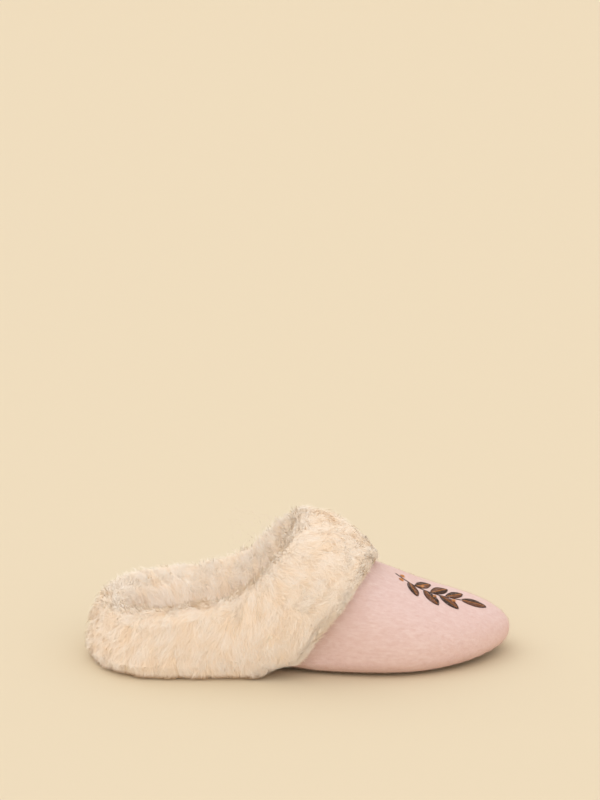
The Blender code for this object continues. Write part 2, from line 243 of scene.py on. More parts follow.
# For each cloth: roughness, height of its bump, sheen, scales of its mottling, fibre and grain, and combing
CLOTHS = {
    "felt": (0.92, 0.00022, 0.35, 38.0, 520.0, 2300.0, 0.35),
    "fleece_lining": (0.95, 0.0006, 0.40, 60.0, 600.0, 1700.0, 1.0),
    "sock_fleece": (0.95, 0.0009, 0.45, 60.0, 480.0, 1500.0, 1.0),
    "sole_cloth": (0.95, 0.0004, 0.20, 50.0, 500.0, 1800.0, 1.0),
    "fur_ground": (0.90, 0.0006, 0.30, 90.0, 420.0, 1400.0, 1.0),
}
SKIRT_CHANGE = 0.45
HEM_LIMIT = 1.96
PATH_REACH = 2.2
PATH_SAMPLES = 67

# The felt's relief
HOLLOW_DEPTH = 0.00055
BALL_SWELL = 0.0005
PUCKER_DEPTH = 0.00022
PUCKERS = 46
FELT_WAVE = 0.00030
TOE_MIDDLE_X = 0.06

# Small distances
WELD = 0.00001
FLOOR_CLEAR = 0.0012
HAIR_CLEAR = 0.0006
# SHADED_HEIGHT: the height over the floor under which the pile takes painted contact shade
SHADED_HEIGHT = 0.0045
FIBRE_WIDTH = 0.00008
GROUND_EDGE = 0.025
RAGGED_BAND = 0.10


def read(table, column, at, flat_ends=False):
    """One column of a table as a smooth curve of its first column: cubic pieces that never pass a row."""
    rows = np.array(table, float)
    xs, ys = rows[:, 0], rows[:, column]
    at = np.clip(np.asarray(at, float), xs[0], xs[-1])
    steps = np.diff(xs)
    slopes = np.diff(ys) / steps
    before, after = slopes[:-1], slopes[1:]
    same = before * after > 0
    inner = np.where(same, 2 * before * after / np.where(same, before + after, 1.0), 0.0)
    ends = 0.0 if flat_ends else 1.0
    tangents = np.concatenate([[slopes[0] * ends], inner, [slopes[-1] * ends]])
    i = np.clip(np.searchsorted(xs, at, side="right") - 1, 0, len(steps) - 1)
    t = (at - xs[i]) / steps[i]
    return (
        (2 * t**3 - 3 * t**2 + 1) * ys[i]
        + (t**3 - 2 * t**2 + t) * steps[i] * tangents[i]
        + (3 * t**2 - 2 * t**3) * ys[i + 1]
        + (t**3 - t**2) * steps[i] * tangents[i + 1]
    )


def rounding(distance, length, power):
    """1 away from an end and 0 at the end, along a superellipse of this length."""
    t = np.clip(1 - distance / length, 0, 1)
    return np.clip(1 - t**power, 0, 1) ** (1 / power)


def lift(along):
    """The sole's height off the floor: a sine-squared arch, and a power curve up at the toe."""
    distance = np.asarray(along, float) * FELT_LENGTH
    arch = np.clip((distance - ARCH_START) / ARCH_LENGTH, 0, 1)
    spring = np.clip(1 - (FELT_LENGTH - distance) / TOE_SPRING_LENGTH, 0, 1)
    return ARCH_RISE * np.sin(np.pi * arch) ** 2 + TOE_SPRING * spring**TOE_SPRING_POWER


def centre_line(along):
    """The last's centre line, a power curve that turns in towards the big toe."""
    ahead = (np.asarray(along, float) - TOE_TURN_START) / (1 - TOE_TURN_START)
    return MIDDLE_Y + TOE_TURN_IN * np.clip(ahead, 0, 1) ** TOE_TURN_POWER


def half_width(along, side, inset):
    """Half the last's width on one side, less an inset, times the roundings of toe and heel."""
    along = np.asarray(along, float)
    share = np.where(side < 0, read(PLAN, 1, along), read(PLAN, 2, along))
    width = HEEL_WIDTH / 2 + (BALL_WIDTH - HEEL_WIDTH) / 2 * share
    ends = rounding((1 - along) * FELT_LENGTH, TOE_ROUND, TOE_POWER)
    return (width - inset) * ends * rounding(along * FELT_LENGTH, HEEL_ROUND, HEEL_POWER)


def ridge_rise(along, depth):
    """The ridge's height over the widest line, rounded off at the toe."""
    height = TOE_HEIGHT + (INSTEP_HEIGHT - TOE_HEIGHT) * read(RIDGE, 1, along)
    top = rounding((1 - np.asarray(along, float)) * FELT_LENGTH, TOE_TOP_ROUND, TOE_TOP_POWER)
    return (height - BULGE_HEIGHT - lift(along) - depth) * top


def last_surface(along, girth, depth):
    """A point of the last: a superellipse arch over the widest line, and a quarter ellipse under it."""
    along, girth, depth = np.broadcast_arrays(
        np.asarray(along, float), np.asarray(girth, float), np.asarray(depth, float)
    )
    side = np.where(girth < 0, -1.0, 1.0)
    size = np.abs(girth)
    power = 2 / read(RIDGE, 2, along)
    up = np.radians(90) * np.clip(1 - size, 0, 1)
    under = np.radians(90) * np.clip(size - 1, 0, 1)
    inset = depth + (TUCK_UNDER - depth) * (1 - np.cos(under))
    drop = (BULGE_HEIGHT - HEM_HEIGHT - depth) * np.sin(under)
    rise = ridge_rise(along, depth) * np.sin(up) ** power
    lean = np.clip(1 - along * FELT_LENGTH / HEEL_LEAN_REACH, 0, 1) ** 2
    x = MIDDLE_X + (along - 0.5) * (FELT_LENGTH - 2 * inset) + HEEL_LEAN * rise * lean
    y = centre_line(along) + side * half_width(along, side, inset) * np.cos(up) ** power
    z = BULGE_HEIGHT + lift(along) + rise - drop
    return np.stack([x, y, z], axis=-1)


def topline_girth(along):
    """The girth at which the arch reaches the topline's height, from the arch's formula turned round."""
    height = HEEL_HEIGHT + (INSTEP_HEIGHT - HEEL_HEIGHT) * read(TOPLINE, 1, along)
    share = np.clip((height - BULGE_HEIGHT - lift(along)) / ridge_rise(along, 0.0), 0, 1)
    return 1 - np.arcsin(share ** (read(RIDGE, 2, along) / 2)) / np.radians(90)


def smooth_stations(count, start, end):
    """Places along the foot that crowd towards both ends, as the cosine of even steps does."""
    turn = np.linspace(0, np.pi, count + 1)
    return start + (end - start) * (0.5 - 0.5 * np.cos(turn))


def unit(vectors):
    """Each vector at length 1."""
    return vectors / np.maximum(np.linalg.norm(vectors, axis=-1, keepdims=True), 1e-12)


def grid_quads(rows, columns, closed_rows=False, closed_columns=False):
    """The four corners of every cell of a grid whose points run row by row."""
    i = np.arange(rows if closed_rows else rows - 1)
    j = np.arange(columns if closed_columns else columns - 1)
    i, j = np.meshgrid(i, j, indexing="ij")
    near, far = (i + 1) % rows, (j + 1) % columns
    corners = (i * columns + j, near * columns + j, near * columns + far, i * columns + far)
    return np.stack([c.ravel() for c in corners], axis=1)


def new_mesh(name, points, quads, triangles=None, materials=(), slots=None, merge=0.0):
    """A mesh object from arrays of points, quads and triangles."""
    mesh = bpy.data.meshes.new(name)
    points = np.asarray(points, np.float32).reshape(-1, 3)
    quads = np.asarray(quads, np.int32).reshape(-1, 4)
    triangles = np.zeros((0, 3), np.int32) if triangles is None else np.asarray(triangles, np.int32)
    loops = np.concatenate([quads.ravel(), triangles.ravel()])
    totals = np.concatenate([np.full(len(quads), 4), np.full(len(triangles), 3)]).astype(np.int32)
    starts = np.concatenate([[0], np.cumsum(totals)[:-1]]).astype(np.int32)
    mesh.vertices.add(len(points))
    mesh.vertices.foreach_set("co", points.ravel())
    mesh.loops.add(len(loops))
    mesh.loops.foreach_set("vertex_index", loops)
    mesh.polygons.add(len(totals))
    mesh.polygons.foreach_set("loop_start", starts)
    mesh.polygons.foreach_set("loop_total", totals)
    if slots is not None:
        mesh.polygons.foreach_set("material_index", np.asarray(slots, np.int32))
    mesh.update(calc_edges=True)
    mesh.validate()
    for material in materials:
        mesh.materials.append(material)
    if merge:
        tidy_mesh(mesh, merge)
    mesh.shade_smooth()
    piece = bpy.data.objects.new(name, mesh)
    bpy.context.scene.collection.objects.link(piece)
    return piece


def new_piece(*parts):
    """A mesh object that rides on the slipper's body."""
    piece = new_mesh(*parts)
    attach(piece, "root")
    return piece


def tidy_mesh(mesh, merge):
    """Seams and poles closed, and every face turned out."""
    body = bmesh.new()
    body.from_mesh(mesh)
    bmesh.ops.remove_doubles(body, verts=body.verts[:], dist=merge)
    bmesh.ops.dissolve_degenerate(body, edges=body.edges[:], dist=merge)
    bmesh.ops.recalc_face_normals(body, faces=body.faces[:])
    body.to_mesh(mesh)
    body.free()


def set_colour_attribute(piece, name, colours):
    """A value for each point, kept as a colour: its red, green and blue are three measures."""
    attribute = piece.data.color_attributes.new(name, "FLOAT_COLOR", "POINT")
    full = np.ones((len(colours), 4), np.float32)
    full[:, :3] = colours
    attribute.data.foreach_set("color", full.ravel())


class PileChart:
    """The pile's space as a lattice: round the cuff, over its section, and out from the felt's face."""

    def __init__(self, columns=264, rows=76, layers=7):
        """Each point of the lattice lies part of the way out from a foot on the felt to the pile's skin."""
        self.turns = np.arange(columns) / columns
        self.overs = np.linspace(PILE_SECTION[0][0], PILE_SECTION[-1][0], rows)
        self.outs = np.linspace(0.0, 1.5, layers)
        distance = 1 - np.abs(2 * self.turns - 1)
        named = (FUR_DEPTH_FRONT, FUR_DEPTH_SIDE, FUR_DEPTH_BACK)
        fur = sum(size * read(CUFF_DEPTH, column + 1, distance) for column, size in enumerate(named))
        roll = FUR_ROLL_FRONT + (FUR_ROLL_BACK - FUR_ROLL_FRONT) * distance
        columns_of = (read(PILE_SECTION, column, self.overs) for column in range(1, 8))
        skirt, high, leg, front, back, inside, wall = columns_of
        change = np.clip(distance / SKIRT_CHANGE, 0, 1)
        share = np.linspace(0, PATH_REACH, PATH_SAMPLES)
        points = []
        for i in range(columns):
            turn = self.turns[i]
            line = self.chart_line(turn, share)
            steps = np.linalg.norm(np.diff(last_surface(*line, 0.0), axis=0), axis=1)
            grown = np.concatenate([[0.0], np.cumsum(steps)])
            length = np.interp(1.0, share, grown)
            foot_place = skirt - FUR_LEG * leg / length
            full_place = foot_place + roll[i] * high / length
            foot_depth = FELT_WALL * wall
            outside = front + (back - front) * change[i]
            full_depth = -fur[i] * outside + FUR_INSIDE * inside + foot_depth
            out = self.outs[None, :]
            place = foot_place[:, None] + (full_place - foot_place)[:, None] * out
            depth = foot_depth[:, None] + (full_depth - foot_depth)[:, None] * out
            at = np.interp(place * length, grown, share) + np.minimum(place, 0)
            points.append(last_surface(*self.chart_line(turn, at), depth))
        self.points = np.array(points)
        self.points[..., 2] = press_flat(self.points[..., 2])

    @staticmethod
    def chart_line(turn, share):
        """The line on the last's chart from the skirt's edge (share 0) to the topline (1) and past."""
        distance = 1 - abs(2 * turn - 1)
        side = -1.0 if turn < 0.5 else 1.0
        top = read(CUFF, 3, distance, flat_ends=True)
        low = read(CUFF, 1, distance, flat_ends=True)
        girth = read(CUFF, 2, distance)
        along = low + (top - low) * share
        girth = girth + (topline_girth(top) - girth) * share
        return np.clip(along, 0, 1), side * np.clip(girth, 0, HEM_LIMIT)

    def at(self, turn, over, out):
        """A point of the pile's space, read from the lattice by straight steps between its points."""
        columns, rows, layers = self.points.shape[:3]
        u = (turn % 1.0) * columns
        v = (np.clip(over, self.overs[0], self.overs[-1]) - self.overs[0]) / (self.overs[1] - self.overs[0])
        w = np.clip(out, 0, self.outs[-1]) / (self.outs[1] - self.outs[0])
        i, j, k = (np.floor(a).astype(int) for a in (u, v, w))
        j, k = np.minimum(j, rows - 2), np.minimum(k, layers - 2)
        u, v, w = (u - i)[..., None], (v - j)[..., None], (w - k)[..., None]
        i, near = i % columns, (i + 1) % columns
        total = 0.0
        for di, wi in ((i, 1 - u), (near, u)):
            for dj, wj in ((j, 1 - v), (j + 1, v)):
                for dk, wk in ((k, 1 - w), (k + 1, w)):
                    total = total + self.points[di, dj, dk] * wi * wj * wk
        return total

    def outward(self, turn, over):
        """The direction out of the pile's skin: across its two tangents."""
        step_u, step_v = 0.004, 0.02
        round_it = self.at(turn + step_u, over, 1.0) - self.at(turn - step_u, over, 1.0)
        over_it = self.at(turn, over + step_v, 1.0) - self.at(turn, over - step_v, 1.0)
        across = unit(np.cross(over_it, round_it))
        away = self.at(turn, over, 1.2) - self.at(turn, over, 0.4)
        return across * np.sign(np.sum(across * away, axis=-1, keepdims=True) + 1e-12)


def press_flat(height):
    """Heights that would reach the floor, pressed together just over it along an exponential."""
    pressed = FLOOR_CLEAR * (0.6 + np.exp(np.minimum(height / FLOOR_CLEAR - 2, 0)) * 1.4)
    return np.where(height < 2 * FLOOR_CLEAR, pressed, height)


def nearest_tuft(u, v, centres_u, centres_v, wrap):
    """For each root, the number of the nearest tuft among the nine whose cells are round it."""
    rows, columns = centres_u.shape
    i = np.floor(u / wrap * rows).astype(int)
    j = np.floor((v - centres_v.min()) / np.ptp(centres_v) * columns).astype(int)
    best = np.full(u.shape, 1e9)
    chosen = np.zeros(u.shape, int)
    for di in (-1, 0, 1):
        for dj in (-1, 0, 1):
            a, b = (i + di) % rows, np.clip(j + dj, 0, columns - 1)
            gap = (u - centres_u[a, b] + wrap / 2) % wrap - wrap / 2
            far = gap**2 + (v - centres_v[a, b]) ** 2
            closer = far < best
            best = np.where(closer, far, best)
            chosen = np.where(closer, a * columns + b, chosen)
    return chosen


def soft_noise(points, scale, seed, octaves=3):
    """Smooth values near -1 to 1: sums of sines along directions that a seed picks."""
    chance = np.random.RandomState(seed)
    total = np.zeros(points.shape[:-1])
    for octave in range(octaves):
        for _ in range(5):
            direction = unit(chance.normal(size=3))
            wave = 2 * np.pi / scale * 2**octave
            bend = chance.uniform(0, 2 * np.pi)
            other = unit(chance.normal(size=3))
            phase = points @ direction * wave + bend + 1.3 * np.sin(points @ other * wave * 0.6 + bend * 2)
            total += np.sin(phase) / 2**octave
    return total / 4.2


def shader_material(name, roughness, sheen=0.0, sheen_roughness=0.5, sheen_tint=(1, 1, 1)):
    """An empty material with its Principled shader's plain values set on its own sockets."""
    material = bpy.data.materials.new(name)
    material.use_nodes = True
    nodes = material.node_tree.nodes
    shader = nodes["Principled BSDF"]
    shader.inputs["Roughness"].default_value = roughness
    shader.inputs["Specular IOR Level"].default_value = 0.25
    shader.inputs["Sheen Weight"].default_value = sheen
    shader.inputs["Sheen Roughness"].default_value = sheen_roughness
    shader.inputs["Sheen Tint"].default_value = (*sheen_tint, 1)
    return material, nodes, material.node_tree.links, shader


def colour_mix(nodes, links, factor, low, high):
    """A Mix node between two colours, each a value or a socket."""
    mix = nodes.new("ShaderNodeMix")
    mix.data_type = "RGBA"
    for socket, value in ((mix.inputs["Factor"], factor), (mix.inputs[6], low), (mix.inputs[7], high)):
        if isinstance(value, bpy.types.NodeSocket):
            links.new(value, socket)
        elif isinstance(value, (int, float)):
            socket.default_value = value
        else:
            socket.default_value = (*value, 1.0)
    return mix.outputs[2]


def nap_group():
    """The nap of brushed cloth, as values over its surface: broad mottling, felted fibre and fine grain."""
    if "brushed_nap" in bpy.data.node_groups:
        return bpy.data.node_groups["brushed_nap"]
    group = bpy.data.node_groups.new("brushed_nap", "ShaderNodeTree")
    nodes, links = group.nodes, group.links
    inputs = {"Mottle Scale": 45.0, "Fibre Scale": 420.0, "Grain Scale": 1600.0, "Combing": 1.0}
    for name, value in inputs.items():
        socket = group.interface.new_socket(name, in_out="INPUT", socket_type="NodeSocketFloat")
        socket.default_value = value
    for name in ("Mottle", "Fibre", "Height"):
        group.interface.new_socket(name, in_out="OUTPUT", socket_type="NodeSocketFloat")
    given, put = nodes.new("NodeGroupInput"), nodes.new("NodeGroupOutput")
    place = nodes.new("ShaderNodeTexCoord")
    comb = nodes.new("ShaderNodeCombineXYZ")
    links.new(given.outputs["Combing"], comb.inputs[0])
    comb.inputs[1].default_value = 1.0
    comb.inputs[2].default_value = 1.0
    stretch = nodes.new("ShaderNodeVectorMath")
    stretch.operation = "MULTIPLY"
    links.new(place.outputs["Object"], stretch.inputs[0])
    links.new(comb.outputs[0], stretch.inputs[1])
    made = {}
    for name, detail, rough, vector in (
        ("Mottle", 3.0, 0.55, place.outputs["Object"]),
        ("Fibre", 5.0, 0.65, stretch.outputs[0]),
        ("Grain", 2.0, 0.6, place.outputs["Object"]),
    ):
        noise = nodes.new("ShaderNodeTexNoise")
        noise.inputs["Detail"].default_value = detail
        noise.inputs["Roughness"].default_value = rough
        links.new(vector, noise.inputs["Vector"])
        links.new(given.outputs[f"{name} Scale"], noise.inputs["Scale"])
        made[name] = noise.outputs["Fac"]
    add = nodes.new("ShaderNodeMath")
    add.operation = "MULTIPLY_ADD"
    links.new(made["Grain"], add.inputs[0])
    add.inputs[1].default_value = 0.45
    links.new(made["Fibre"], add.inputs[2])
    links.new(made["Mottle"], put.inputs["Mottle"])
    links.new(made["Fibre"], put.inputs["Fibre"])
    links.new(add.outputs[0], put.inputs["Height"])
    return group


def napped_cloth(name, deep, mid, pale):
    """Brushed cloth: its colour runs from deep to pale with the nap, and its bump is the nap's height."""
    roughness, bump, sheen, *scales = CLOTHS[name]
    material, nodes, links, shader = shader_material(name, roughness, sheen, 0.45, pale)
    nap = nodes.new("ShaderNodeGroup")
    nap.node_tree = nap_group()
    for socket, value in zip(("Mottle Scale", "Fibre Scale", "Grain Scale", "Combing"), scales):
        nap.inputs[socket].default_value = value
    spans = {}
    for measure, low, high in (("Mottle", 0.35, 0.65), ("Fibre", 0.30, 0.72)):
        span = nodes.new("ShaderNodeMapRange")
        span.inputs["From Min"].default_value = low
        span.inputs["From Max"].default_value = high
        links.new(nap.outputs[measure], span.inputs["Value"])
        spans[measure] = span.outputs["Result"]
    base = colour_mix(nodes, links, spans["Mottle"], mid, pale)
    fibre = colour_mix(nodes, links, spans["Fibre"], deep, base)
    links.new(fibre, shader.inputs["Base Color"])
    relief = nodes.new("ShaderNodeBump")
    relief.inputs["Strength"].default_value = 1.0
    relief.inputs["Distance"].default_value = bump
    links.new(nap.outputs["Height"], relief.inputs["Height"])
    links.new(relief.outputs["Normal"], shader.inputs["Normal"])
    return material


def fur_material(name, looks):
    """Pile whose colour runs from root to tip with each hair's tone and tan, darkened by painted shade near
    the floor and lifted by a painted glow.
    """
    material, nodes, links, shader = shader_material(name, 0.75, 0.25, 0.4, looks.fur_tip)
    measures = nodes.new("ShaderNodeAttribute")
    measures.attribute_name = "pile"
    split = nodes.new("ShaderNodeSeparateColor")
    links.new(measures.outputs["Color"], split.inputs["Color"])
    # Green and blue of the pile attribute hold each hair's own tone and tan, and with them the painted shade
    # in the gaps between tufts.
    root = colour_mix(nodes, links, split.outputs["Green"], looks.fur_root, looks.fur_mid)
    tip = colour_mix(nodes, links, split.outputs["Green"], looks.fur_mid, looks.fur_tip)
    shade = colour_mix(nodes, links, split.outputs["Red"], root, tip)
    warm = colour_mix(nodes, links, split.outputs["Blue"], shade, looks.fur_tan)
    place, parts = nodes.new("ShaderNodeTexCoord"), nodes.new("ShaderNodeSeparateXYZ")
    links.new(place.outputs["Object"], parts.inputs["Vector"])
    # Painted shade: below SHADED_HEIGHT the pile's colour is mixed towards a dark brown, in place of its
    # contact shadow on the floor.
    near_floor = nodes.new("ShaderNodeMapRange")
    near_floor.interpolation_type = "SMOOTHSTEP"
    near_floor.inputs["From Min"].default_value = 0.0
    near_floor.inputs["From Max"].default_value = SHADED_HEIGHT
    links.new(parts.outputs["Z"], near_floor.inputs["Value"])
    floor_shaded = colour_mix(nodes, links, near_floor.outputs["Result"], looks.fur_painted_floor_shade, warm)
    links.new(floor_shaded, shader.inputs["Base Color"])
    # Painted glow: an even emission that brightens the pile, though it is no lamp.
    shader.inputs["Emission Color"].default_value = (*looks.fur_painted_glow, 1)
    shader.inputs["Emission Strength"].default_value = 1.0
    return material


def thread_material(name, looks):
    """Satin stitch thread, whose shade is kept with each stitch."""
    material, nodes, links, shader = shader_material(name, 0.48, 0.15, 0.4, looks.thread_tan)
    tones = nodes.new("ShaderNodeAttribute")
    tones.attribute_name = "thread"
    links.new(tones.outputs["Color"], shader.inputs["Base Color"])
    return material


def plain_material(name, colour, roughness, sheen, specular):
    """One even colour all over."""
    material, _, _, shader = shader_material(name, roughness, sheen, 0.5, colour)
    shader.inputs["Specular IOR Level"].default_value = specular
    shader.inputs["Base Color"].default_value = (*colour, 1)
    return material


def count_setting(name, description, value):
    """A whole number of hairs or fibres."""
    return IntProperty(name=name, description=description, default=value, min=3)


def length_setting(name, description, value):
    """A length in metres."""
    return FloatProperty(name=name, description=description, default=value, unit="LENGTH")


def angle_setting(name, description, degrees):
    """An angle, given here in degrees."""
    return FloatProperty(name=name, description=description, default=math.radians(degrees), subtype="ANGLE")


def colour_setting(name, description, value):
    """A colour as linear light."""
    return FloatVectorProperty(name=name, description=description, default=value, subtype="COLOR")


class SlipperSizes(bpy.types.PropertyGroup):
    """Sizes and counts of what the looks add."""

    hair_count: count_setting("Undercoat", "Hairs of the undercoat", 171000)
    guard_count: count_setting("Guard hairs", "Longer, looser hairs", 42000)
    fringe_count: count_setting("Fringe", "Hairs along the skirt's edge", 32000)
    hair_rise: length_setting("Rise", "How far a hair's tip stands over the pile's skin", 0.0010)
    hair_width: length_setting("Hair width", "Width of a hair at its root", 0.00023)
    hair_lay: length_setting("Lay", "How far a hair leans down the skirt", 0.0055)
    tuft_size: length_setting("Tuft", "Spacing of the tufts", 0.0085)
    wisp_size: length_setting("Wisp", "Spacing of the wisps", 0.0026)
    fuzz_count: count_setting("Fuzz", "Fibres that stand off the felt", 15000)
    fuzz_length: length_setting("Fuzz length", "Length of a loose felt fibre", 0.0016)
    sprig_length: length_setting("Sprig length", "Length of the embroidered sprig", 0.050)
    thread_width: length_setting("Thread", "Width of a stitch", 0.00042)
    key_turn: angle_setting("Key turn", "The key light's side, from the toe round by the inner side", 150)
    key_height: angle_setting("Key height", "The key light's angle above the floor", 52)
    camera_distance: length_setting("Camera distance", "From the camera to the slipper", 1.55)
    camera_height: angle_setting("Camera elevation", "The camera's angle above the floor", 20.5)


class SlipperColours(bpy.types.PropertyGroup):
    """Colours of the slipper and its stage, as linear light."""

    felt_deep: colour_setting("Felt, deep", "Felt between its fibres", (0.730, 0.510, 0.470))
    felt_mid: colour_setting("Felt", "The felt's main pink", (0.800, 0.600, 0.565))
    felt_pale: colour_setting("Felt, pale", "Felt where its nap is raised", (0.840, 0.655, 0.625))
    fleece: colour_setting("Fleece", "Lining and sock", (0.800, 0.530, 0.450))
    fur_root: colour_setting("Fur, root", "Pile at its root", (0.935, 0.810, 0.665))
    fur_mid: colour_setting("Fur, middle", "Pile halfway out", (0.970, 0.880, 0.770))
    fur_tip: colour_setting("Fur, tip", "Pile at its tip", (0.990, 0.930, 0.860))
    # Tan streaks are the pile's own colour; hairs in the gaps between tufts are also mixed towards this tan
    # and the root colour as painted shade.
    fur_tan: colour_setting("Fur, tan", "Tan streaks in the pile", (0.950, 0.770, 0.560))
    # Painted shade: the pile's ends near the floor are darkened towards this colour, in place of their
    # contact shadow.
    fur_painted_floor_shade: colour_setting("Fur, low", "Pile's ends at the floor", (0.500, 0.300, 0.130))
    # Painted glow: the pile gives off this light itself as emission, in place of light scattered through the
    # hairs.
    fur_painted_glow: colour_setting("Fur, glow", "Light that passes on through the pile", (0.040, 0.024, 0.014))
    sole: colour_setting("Sole", "Brushed sole cloth", (0.330, 0.220, 0.150))
    thread_dark: colour_setting("Thread, dark", "Dark brown thread", (0.045, 0.018, 0.010))
    thread_brown: colour_setting("Thread, brown", "Mid brown thread", (0.150, 0.055, 0.025))
    thread_tan: colour_setting("Thread, tan", "Ochre thread", (0.560, 0.230, 0.070))
    thread_red: colour_setting("Thread, red", "Brick red thread", (0.420, 0.060, 0.035))
    stage: colour_setting("Stage", "Floor and backdrop", (0.740, 0.626, 0.456))
    key: colour_setting("Key light", "The soft main light", (1.0, 0.99, 0.97))
    fill: colour_setting("Fill light", "Light from all round", (1.0, 0.99, 0.97))


def sizes():
    """The sizes that the operators share."""
    return bpy.context.scene.slipper_sizes


def looks():
    """The colours that the operators share."""
    return bpy.context.scene.slipper_colours


def felt_relief(points, along, girth):
    """The felt's soft hollows and swells, in metres outwards, from the shoe's own chart.

    A hollow lies just ahead of the cuff and a low swell over the ball, both bell curves. Puckers gather at
    the toe's hem as a sine of the angle round it, and the felt waves a little all over.
    """
    edge = np.interp(np.abs(girth), *zip(*SKIRT_LINE))
    ahead = (along - edge - 0.035) / 0.030
    hollow = -HOLLOW_DEPTH * np.exp(-(ahead**2)) * np.clip(np.abs(girth) * 1.5, 0, 1)
    ball = BALL_SWELL * np.exp(-(((along - 0.72) / 0.08) ** 2) - ((np.abs(girth) - 0.8) / 0.35) ** 2)
    gather = np.clip((np.abs(girth) - 1.15) / 0.5, 0, 1) * np.clip((along - 0.78) / 0.15, 0, 1)
    angle = np.arctan2(points[..., 1] - MIDDLE_Y, points[..., 0] - TOE_MIDDLE_X)
    pucker = PUCKER_DEPTH * gather * np.sin(angle * PUCKERS)
    return hollow + ball + pucker + FELT_WAVE * soft_noise(points, 0.060, 5, 2)


class SLIPPER_OT_upper(bpy.types.Operator):
    """Make the felt upper: its outer face with relief, its lined inner face, hem and topline"""

    bl_idname = "slipper.upper"
    bl_label = "Felt Upper"

    behind, ahead, tuck_rows, arch_rows = 74, 84, 9, 40

    def execute(self, context):
        """An outer and an inner skin on each side of the ridge, joined at hem and topline by quads."""
        along, girth = self.chart_grid()
        points, quads, slots = [], [], []
        for side in (-1, 1):
            skins = []
            for lined in (0, 1):
                base = along.size * len(points)
                points.append(self.skin(along, side * girth, lined).reshape(-1, 3))
                skins.append(base + np.arange(along.size).reshape(along.shape))
                cells = grid_quads(*along.shape) + base
                quads.append(cells[:, ::-1] if (side > 0) != bool(lined) else cells)
                slots.append(np.full(len(cells), lined))
            outer, inner = skins
            hem = (outer[:-1, 0], inner[:-1, 0], inner[1:, 0], outer[1:, 0])
            last = self.behind
            rim = (outer[:last, -1], outer[1 : last + 1, -1], inner[1 : last + 1, -1], inner[:last, -1])
            for strip in (hem, rim):
                quads.append(np.stack(strip, axis=1))
                slots.append(np.zeros(len(strip[0])))
        colours = looks()
        felt = napped_cloth("felt", colours.felt_deep, colours.felt_mid, colours.felt_pale)
        deep_fleece = tuple(c * 0.7 for c in colours.fleece)
        lining = napped_cloth("fleece_lining", deep_fleece, colours.fleece, colours.felt_mid)
        points, quads, slots = np.concatenate(points), np.concatenate(quads), np.concatenate(slots)
        piece = new_piece("felt_upper", points, quads, None, (felt, lining), slots, WELD)
        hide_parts("upper")
        return {"FINISHED"}

    def chart_grid(self):
        """Stations along the foot, by girths from the hem and up to the topline or the ridge."""
        ahead = np.sin(np.linspace(0, np.pi / 2, self.ahead + 1))[1:]
        stations = np.concatenate([smooth_stations(self.behind, 0.0, THROAT), THROAT + (1 - THROAT) * ahead])
        top = np.where(stations < THROAT, topline_girth(stations), 0.0)
        tuck = np.linspace(2, 1, self.tuck_rows + 1)
        arch = 1 + (top[:, None] - 1) * np.linspace(0, 1, self.arch_rows + 1)[None, 1:]
        girth = np.concatenate([np.repeat(tuck[None, :], len(stations), axis=0), arch], axis=1)
        return np.repeat(stations[:, None], girth.shape[1], axis=1), girth

    def skin(self, along, girth, lined):
        """The felt's plain inner face, or its outer face with the relief, which dies out at the hem."""
        skin = last_surface(along, girth, FELT_WALL * lined)
        if lined:
            return skin
        out = unit(skin - last_surface(along, girth, 0.002))
        quiet = np.clip((2.0 - np.abs(girth)) / 0.3, 0, 1)
        return skin + out * (felt_relief(skin, along, girth) * quiet)[..., None]


def rounded_slab(name, low, high, edge, crown, materials, relief):
    """A foot-shaped slab: at each station a closed section with elliptical edges and a crowned top.

    Going round a section, the offset from the middle line is a power of the cosine and the height a power of
    the sine, so the sides are nearly upright. Its two ends are closed by strips across the end sections.
    """
    inset = TUCK_UNDER + SEAM_GAP
    end = 0.4 * edge / FELT_LENGTH
    stations = smooth_stations(150, end, 1 - end)
    around = np.linspace(0, 2 * np.pi, 96, endpoint=False)
    across = np.sign(np.cos(around)) * np.abs(np.cos(around)) ** 0.30
    up = np.sign(np.sin(around)) * np.abs(np.sin(around)) ** 0.42
    grid, across = np.meshgrid(stations, across, indexing="ij")
    up = np.repeat(up[None, :], len(stations), axis=0)
    corner = edge * (1 - np.sqrt(np.clip(1 - np.abs(up) ** 6, 0, 1)))
    width = half_width(grid, across, inset + corner)
    x = MIDDLE_X + (grid - 0.5) * (FELT_LENGTH - 2 * (inset + corner))
    y = centre_line(grid) + across * width
    z = (low + high) / 2 + (high - low) / 2 * up + lift(grid)
    points = np.stack([x, y, z], axis=-1)
    top = np.clip(up, 0, 1) ** 3
    points[..., 2] += top * (relief(points) - crown * np.abs(across) ** 6)
    count, turns = grid.shape
    quads = grid_quads(count, turns, closed_columns=True)
    near = np.arange(turns // 2 - 1)
    cap = np.stack([near, near + 1, turns - 2 - near, turns - 1 - near], axis=1)
    caps = np.concatenate([cap, cap[:, ::-1] + (count - 1) * turns])
    return new_piece(name, points, np.concatenate([quads, caps]), None, materials, None, WELD / 2)


